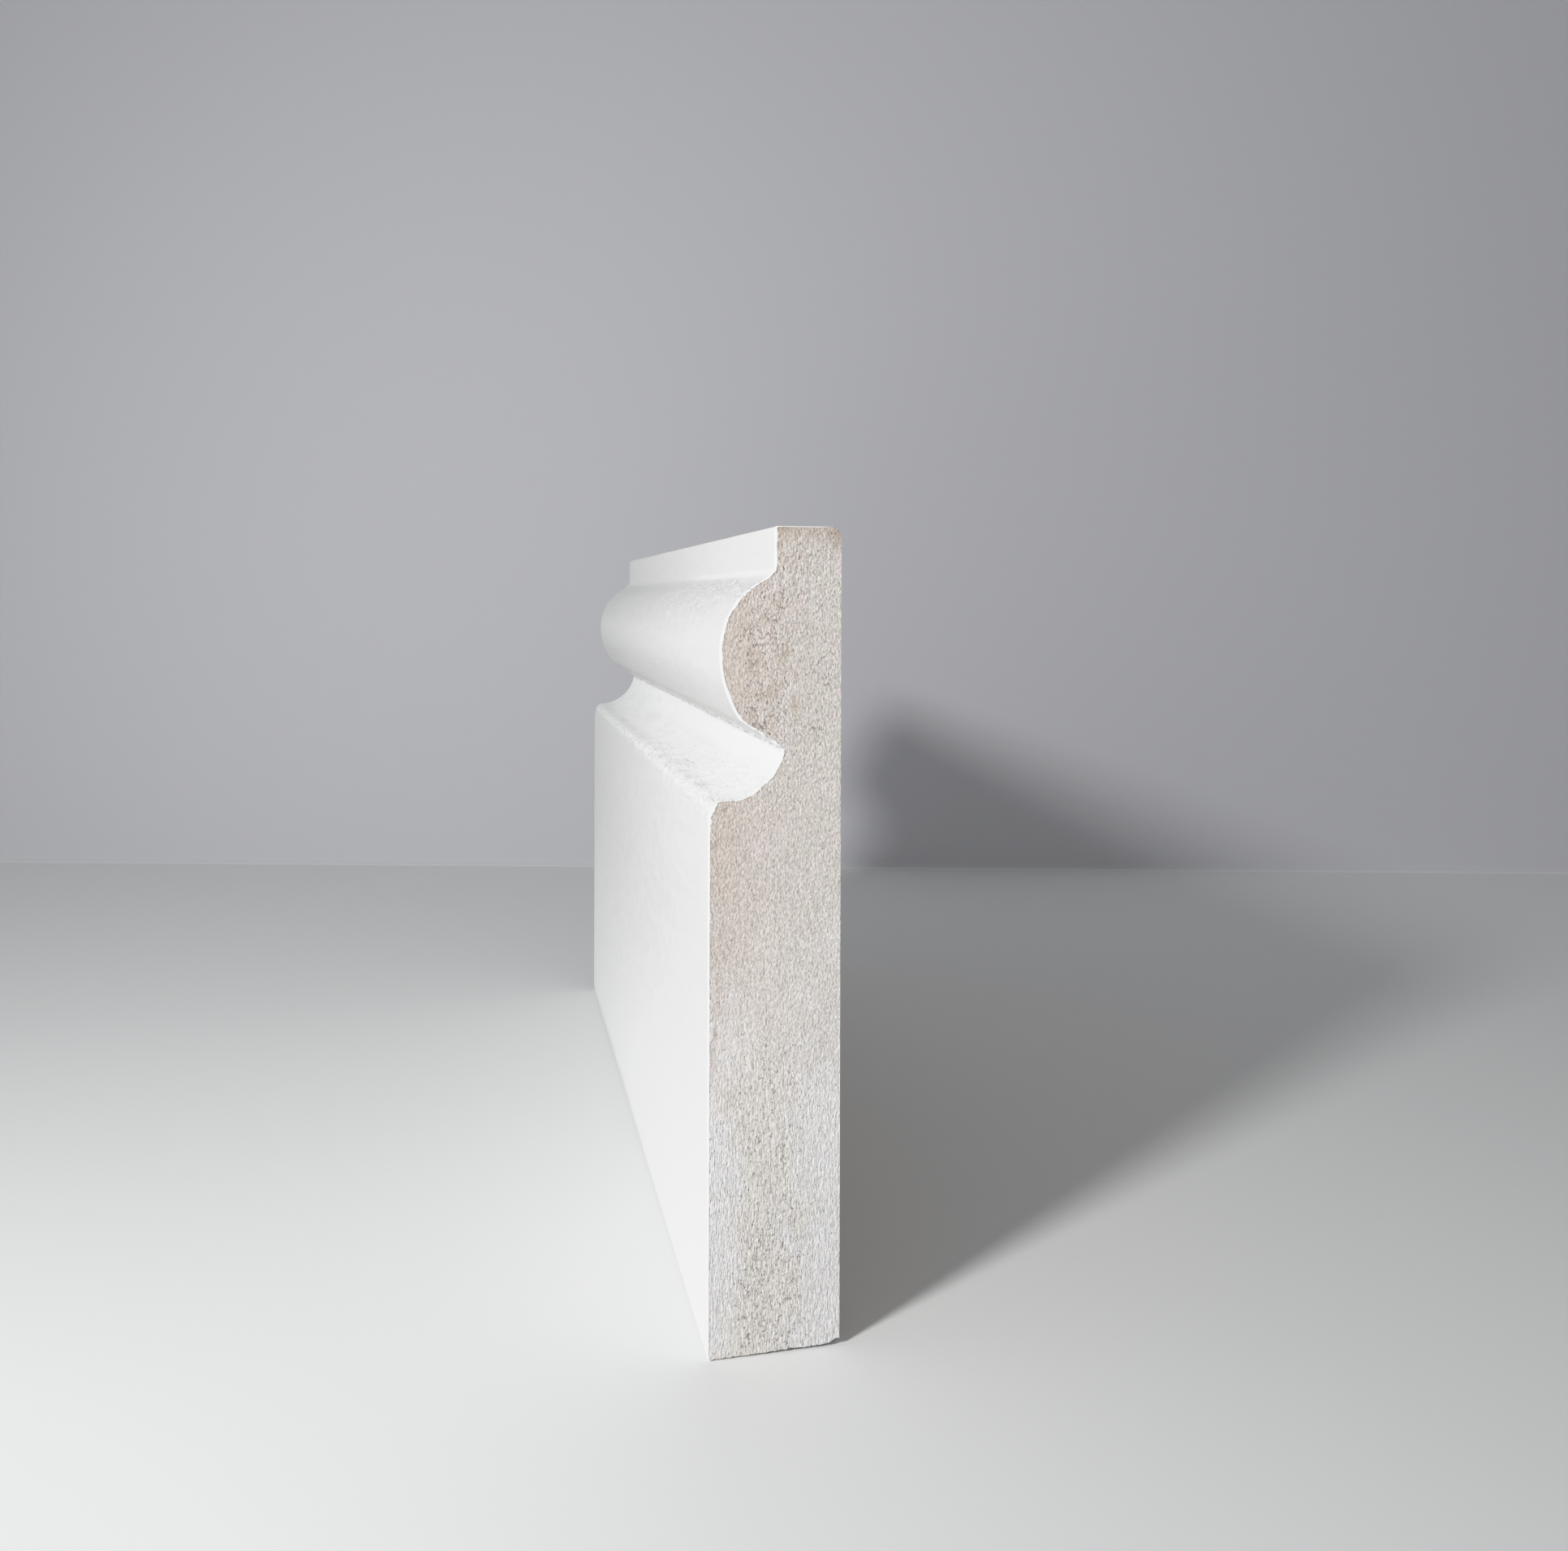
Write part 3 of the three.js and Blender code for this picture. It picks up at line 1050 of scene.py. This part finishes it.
@dataclass(frozen=True)
class Primer:
    """Factory primer: a satin white film, thicker in the cove, with painted shade and painted light in
    its colour.
    """

    white: Colour = (0.785, 0.787, 0.775)
    # Whiter colour for painted light and highlights, and for the thicker film in the cove.
    thick_film_and_highlight: Colour = (0.97, 0.972, 0.965)
    # Colour of the painted shade over the torus.
    torus_shade: Colour = (0.70, 0.703, 0.69)
    # Colour of the painted shadow line in the quirk.
    quirk_shadow: Colour = (0.50, 0.50, 0.49)
    torus_shade_share: float = 0.7
    bead_share: float = 0.6
    smoothest: float = 0.40
    roughest: float = 0.56
    peel_rise: float = 0.04 * MM
    chatter_rise: float = 0.18 * MM
    fibre_rise: float = 0.14 * MM
    fold_rise: float = 0.38 * MM

    def make(self) -> Material:
        """Lays out the material."""
        bench = NodeBench("primed_white")
        fuzz = self._fuzz(bench)
        # Painted shade over the torus; then whiter painted light and highlights, and the painted shadow
        # line in the quirk.
        colour = bench.mix(self._torus_shade(bench), self.white, self.torus_shade)
        colour = bench.mix(self._thickness_and_light(bench, fuzz), colour, self.thick_film_and_highlight)
        colour = bench.mix(self._quirk_shadow(bench), colour, self.quirk_shadow)
        sheen = bench.noise((4, 1.2, 1.2))
        rough = bench.ramp(sheen, 0.3, 0.7, self.smoothest, self.roughest)
        bumps = [
            (bench.noise((1.1, 0.4, 0.4)), self.peel_rise),
            (self._chatter(bench), self.chatter_rise),
            (fuzz, self.fibre_rise),
            (self._crinkles(bench), self.fold_rise),
        ]
        return bench.finish(colour, rough, bumps)

    def _chatter(self, bench: NodeBench) -> Socket:
        """Marks of the cutter across the fillet, fading away from the near end."""
        marks = bench.noise((0.7, 12, 12), 2, 0.6)
        return bench.times(marks, bench.zone(bench.up, 89.6, 90), bench.zone(bench.along, 40, 72))

    def _fuzz(self, bench: NodeBench) -> Socket:
        """Fibres raised under the film on the upper side of the torus."""
        fibres = bench.ramp(bench.noise((1.9, 0.42, 0.42), 2, 0.6, -0.6), 0.46, 0.66)
        patch = bench.ramp(bench.noise((8, 3, 3)), 0.38, 0.56)
        level = bench.zone(bench.up, 82.5, 85.5, 88.6, 89.6)
        return bench.times(fibres, patch, level, bench.zone(bench.along, -10, 45))

    def _crinkles(self, bench: NodeBench) -> Socket:
        """Crinkled film in the quirk and low in the cove."""
        folds = bench.noise((1.7, 0.45, 0.45), 3, 0.68, 0.35)
        cove = bench.zone(bench.up, 62.7, 63.2, 65.2, 68.0)
        quirk = bench.zone(bench.up, 68.9, 69.3, 71.2, 72.0)
        near = bench.ramp(bench.along, -20 * MM, 40 * MM, 0.3, 1.0)
        return bench.times(folds, bench.greatest(cove, quirk), near)

    def _quirk_shadow(self, bench: NodeBench) -> Socket:
        """Painted shadow: a fine broken darker line along the bottom of the quirk."""
        broken = bench.ramp(bench.noise((1.5, 0.8, 0.8), 2, 0.6), 0.4, 0.56, 0.15, 0.9)
        return bench.times(bench.zone(bench.up, 69.15, 69.35, 69.5, 69.75), broken)

    def _torus_shade(self, bench: NodeBench) -> Socket:
        """Painted shade over the upper side and the underside of the torus, from 0 to 1."""
        upper = bench.zone(bench.up, 81.0, 84.5, 89.0, 89.6)
        under = bench.zone(bench.up, 70.0, 71.5, 75.5, 79.5)
        return bench.times(bench.greatest(upper, under), self.torus_shade_share)

    def _thickness_and_light(self, bench: NodeBench, fuzz: Socket) -> Socket:
        """How much whiter the film is drawn at each place, from 0 to 1, mostly as painted light.

        Args:
            bench: the bench of the material.
            fuzz: where fibres are raised under the film.

        Returns:
            The share of the whiter colour.
        """
        # Whiter patches in the cove: a thicker film there, with painted sheen.
        mottled_sheen = bench.ramp(bench.noise((9, 2, 2), 4, 0.6), 0.36, 0.58, 0.75, 1.15)
        cove = bench.times(bench.zone(bench.up, 62.9, 63.6, 69.0, 71.0), mottled_sheen)
        # Painted highlight, broken, along the arris under the cove.
        broken_arris_highlight = bench.ramp(bench.noise((1.6, 0.6, 0.6), 2, 0.6), 0.4, 0.56, 0.0, 0.8)
        arris = bench.times(bench.zone(bench.up, 61.9, 62.4, 62.9, 63.3), broken_arris_highlight)
        # The paint bead under the fillet, drawn whiter as a painted highlight where that corner would
        # fall in shade.
        bead = bench.zone(bench.up, 89.2, 89.5, 89.9, 90.2)
        bead = bench.times(bead, bench.zone(bench.along, 0, 40), self.bead_share)
        # Painted highlight along the primer's rolled edge at the near end.
        cut_edge_highlight = bench.zone(bench.along, 74.60, 74.72)
        # Painted light: whiter towards the foot, where light comes up off the floor; the raised fibres
        # are drawn whiter as painted glints.
        return bench.greatest(bench.zone(bench.up, 52, 0), fuzz, cove, arris, bead, cut_edge_highlight)


@dataclass(frozen=True)
class SawnBoard:
    """Sawn fibreboard: granular, painted shade in its pits, tan above, paler and greyer towards the
    foot.
    """

    tan: Colour = (0.68, 0.62, 0.58)
    stone: Colour = (0.69, 0.655, 0.61)
    beige: Colour = (0.80, 0.768, 0.732)
    pale: Colour = (0.825, 0.81, 0.807)
    brown: Colour = (0.59, 0.515, 0.45)
    rosy: Colour = (0.72, 0.655, 0.635)
    worn: Colour = (0.46, 0.37, 0.31)
    # Colour of the painted shade in pits and grooves.
    painted_shade: Colour = (0.30, 0.24, 0.19)
    roughness: float = 0.9
    streak_share: float = 0.6
    open_share: float = 0.10
    pit_shade_share: float = 0.42
    rosy_share: float = 0.8
    skin_share: float = 0.38
    corner_share: float = 0.8
    edge_share: float = 0.55
    bark_rise: float = 0.19 * MM
    grain_rise: float = 0.13 * MM
    pit_rise: float = 0.10 * MM
    drift_across: float = 3 * MM
    drift_up: float = 10 * MM
    rag_depth: float = 3 * MM

    def make(self) -> Material:
        """Lays out the material."""
        bench = NodeBench("sawn_fibreboard")
        barked, pits = bench.zone(bench.up, 50, 14), self._pits(bench)
        fleck, streaks = bench.noise((0.26, 0.24, 0.4), 3, 0.65), bench.noise((0.24, 0.2, 1), 3, 0.62)
        fleck = bench.mix(bench.times(barked, self.streak_share), fleck, streaks)
        colour = bench.shaded(self._zones(bench), bench.ramp(fleck, 0.3, 0.7, 0.79, 1.21))
        # Painted shade: the mesh's pits and grooves, then the fine pits, are drawn towards the shade
        # colour.
        shaded_hollow = bench.ramp(bench.attribute("shaded_hollow"), 0.05, 0.9, 0.0, 0.75)
        colour = bench.mix(shaded_hollow, colour, self.painted_shade)
        colour = bench.mix(bench.times(pits, self.pit_shade_share), colour, self.painted_shade)
        bumps = [
            (bench.times(bench.noise((0.27, 0.19, 1), 2, 0.6), barked), self.bark_rise),
            (bench.noise((0.3, 0.25, 0.36), 2, 0.6), self.grain_rise),
            (bench.times(pits, -1.0), self.pit_rise),
        ]
        return bench.finish(colour, self.roughness, bumps)

    def _pits(self, bench: NodeBench) -> Socket:
        """Where the board is torn into fine pits, from 0 to 1."""
        openness = bench.times(bench.attribute("open"), self.open_share)
        return bench.ramp(bench.plus(bench.noise((0.4, 0.26, 0.38), 2, 0.6), openness), 0.69, 0.77)

    def _zones(self, bench: NodeBench) -> Socket:
        """Colour of the board from place to place, without its fine flecks.

        Args:
            bench: the bench of the material.

        Returns:
            The colour.
        """
        drift = bench.ramp(bench.noise((6, 4, 7), 4, 0.6), 0.25, 0.75, -1.0, 1.0)
        across = bench.plus(bench.across, bench.times(drift, self.drift_across))
        up = bench.plus(bench.up, bench.times(drift, self.drift_up))
        upper = bench.mix(bench.zone(across, -3, 5), self.tan, self.stone)
        high = bench.times(bench.zone(up, 66, 76), bench.zone(across, 6.5, 2))
        stain = bench.ramp(bench.noise((2.5, 1.8, 2.5), 4, 0.6), 0.45, 0.68)
        stain = bench.times(high, bench.zone(bench.across, -5.4, -2.8), stain)
        upper = bench.mix(stain, upper, self.brown)
        lower = bench.mix(bench.zone(across, -7.3, -3, -0.5, 4.5), self.pale, self.beige)
        colour = bench.mix(bench.zone(up, 58, 20), upper, lower)
        rosy = bench.ramp(bench.noise((3, 2.2, 3)), 0.45, 0.7)
        rosy = bench.times(rosy, bench.zone(up, 20, 60), self.rosy_share)
        colour = bench.mix(rosy, colour, self.rosy)
        skin = bench.times(bench.zone(across, -0.5, -6.5), bench.zone(up, 30, 52), self.skin_share)
        colour = bench.mix(skin, colour, self.brown)
        return bench.mix(self._weathered(bench), colour, self.worn)

    def _weathered(self, bench: NodeBench) -> Socket:
        """The worn back arris and the ragged brown line along the top edge, from 0 to 1.

        Args:
            bench: the bench of the material.

        Returns:
            How worn a place is.
        """
        corner = bench.times(bench.zone(bench.across, 3.8, 7.5), bench.zone(bench.up, 91, 94.8))
        ragged = bench.times(bench.noise((0.9, 0.7, 1.2), 3, 0.6), self.rag_depth)
        edge = bench.zone(bench.plus(bench.up, ragged), 93.6, 96.6)
        corner, edge = bench.times(corner, self.corner_share), bench.times(edge, self.edge_share)
        return bench.greatest(corner, edge)


@dataclass(frozen=True)
class SandedBoard:
    """Sanded fibreboard of the back: smooth, light brown, with sanding lines along it."""

    brown: Colour = (0.59, 0.505, 0.42)
    pale: Colour = (0.64, 0.565, 0.485)
    fibre: Colour = (0.71, 0.65, 0.575)
    roughness: float = 0.75
    line_rise: float = 0.01 * MM

    def make(self) -> Material:
        """Lays out the material."""
        bench = NodeBench("sanded_fibreboard")
        cloud = bench.ramp(bench.noise((16, 16, 5), 4, 0.6), 0.3, 0.7)
        colour = bench.mix(cloud, self.brown, self.pale)
        fibre = bench.ramp(bench.noise((1.2, 1.2, 0.3), 3, 0.6), 0.5, 0.75, 0.0, 0.6)
        colour = bench.mix(fibre, colour, self.fibre)
        return bench.finish(colour, self.roughness, [(bench.noise((30, 30, 0.25)), self.line_rise)])


@dataclass(frozen=True)
class Stage:
    """Plain pale floor that turns up into a plain grey backdrop behind the far end."""

    reach: float = 1.6
    wall_place: float = -0.215
    wall_turn: float = math.radians(14.2)
    corner_radius: float = 0.002
    wall_height: float = 1.2
    corner_pieces: int = 12
    corner_share: float = 0.4
    roughness: float = 0.7
    pale: Colour = (0.80, 0.805, 0.80)
    grey: Colour = (0.66, 0.66, 0.69)

    def build(self) -> bpy.types.Object:
        """Makes the floor and backdrop in one sheet."""
        profile = [(self.reach, 0.0), (self.corner_radius, 0.0)]
        for i in range(1, self.corner_pieces + 1):
            angle = QUARTER_TURN * i / self.corner_pieces
            across = self.corner_radius * (1 - math.sin(angle))
            profile.append((across, self.corner_radius * (1 - math.cos(angle))))
        profile.append((0.0, self.wall_height))
        vertices = [(x, side * self.reach, z) for x, z in profile for side in (-1, 1)]
        faces = [(2 * i, 2 * i + 1, 2 * i + 3, 2 * i + 2) for i in range(len(profile) - 1)]
        mesh = bpy.data.meshes.new("floor")
        mesh.from_pydata(vertices, [], faces)
        mesh.polygons.foreach_set("use_smooth", [True] * len(faces))
        floor = bpy.data.objects.new("floor", mesh)
        floor.location = (self.wall_place, 0.0, 0.0)
        floor.rotation_euler = (0.0, 0.0, -self.wall_turn)
        bpy.context.scene.collection.objects.link(floor)
        floor.data.materials.append(self._material())
        return floor

    def _material(self) -> Material:
        """Matt paint, pale on the floor and mid grey on the backdrop."""
        bench = NodeBench("stage_paint")
        share = bench.ramp(bench.up, 0.0, self.corner_share * self.corner_radius)
        return bench.finish(bench.mix(share, self.pale, self.grey), self.roughness, [])


@dataclass(frozen=True)
class Lights:
    """A soft key from the front left, low enough to throw a long shadow, and an even fill."""

    towards: tuple[float, float, float] = (0.477, -0.742, 0.52)
    aim: tuple[float, float, float] = (0.085, -0.01, 0.05)
    distance: float = 0.32
    size: float = 0.052
    power: float = 1.08
    fill: float = 0.345
    sky: Colour = (0.98, 0.99, 1.0)

    def build(self) -> None:
        """Makes the lamp and the world."""
        lamp = bpy.data.lights.new("key", "AREA")
        lamp.shape = "DISK"
        lamp.size = self.size
        lamp.energy = self.power
        key = bpy.data.objects.new("key", lamp)
        direction = Vector(self.towards).normalized()
        key.location = direction * self.distance + Vector(self.aim)
        key.rotation_mode = "QUATERNION"
        key.rotation_quaternion = direction.to_track_quat("Z", "Y")
        bpy.context.scene.collection.objects.link(key)
        world = bpy.data.worlds.new("studio")
        world.use_nodes = True
        background = world.node_tree.nodes["Background"]
        background.inputs["Color"].default_value = (*self.sky, 1.0)
        background.inputs["Strength"].default_value = self.fill
        bpy.context.scene.world = world


@dataclass(frozen=True)
class Viewpoint:
    """The camera: level, close to the sawn end, and looking past it down the moulded face."""

    lens: float = 31.1
    sensor_width: float = 36.0
    nearest: float = 0.01
    place: tuple[float, float, float] = (0.22676, -0.03362, 0.08664)
    turn: float = math.radians(90 - 12.837)
    roll: float = math.radians(0.15)
    horizon_row: float = 737.65

    def build(self) -> bpy.types.Object:
        """Makes the camera and sets it as the scene's."""
        data = bpy.data.cameras.new("camera")
        data.lens = self.lens
        data.sensor_width = self.sensor_width
        data.shift_y = (self.horizon_row - PICTURE_HEIGHT / 2) / PICTURE_WIDTH
        data.clip_start = self.nearest
        camera = bpy.data.objects.new("camera", data)
        upright = Matrix.Rotation(QUARTER_TURN, 4, "X")
        turned = Matrix.Rotation(self.turn, 4, "Z") @ upright @ Matrix.Rotation(self.roll, 4, "Z")
        camera.matrix_world = Matrix.Translation(self.place) @ turned
        bpy.context.scene.collection.objects.link(camera)
        bpy.context.scene.camera = camera
        return camera


def dress_board() -> bpy.types.Object:
    """Builds the board in place of its solid and gives it its finishes.

    Returns:
        The board's object.
    """
    low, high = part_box("skirting_board")
    size = high - low
    board = SkirtingBoard(Section(thickness=size.y, height=size.z), length=size.x).build()
    for material in (Primer().make(), SawnBoard().make(), SandedBoard().make()):
        board.data.materials.append(material)
    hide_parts("skirting_board")
    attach(board, "root")
    return board


def main() -> None:
    """Builds the camera, the stage, the light and the board, and reports how many vertices and
    triangles the board has.
    """
    logging.basicConfig(level=logging.INFO, format="%(message)s")
    bpy.context.scene.view_settings.view_transform = "Khronos PBR Neutral"
    Viewpoint().build()
    Stage().build()
    Lights().build()
    board = dress_board()
    triangles = sum(len(p.vertices) - 2 for p in board.data.polygons)
    LOG.info("board: %d vertices, %d triangles", len(board.data.vertices), triangles)


if __name__ == "__main__":
    main()
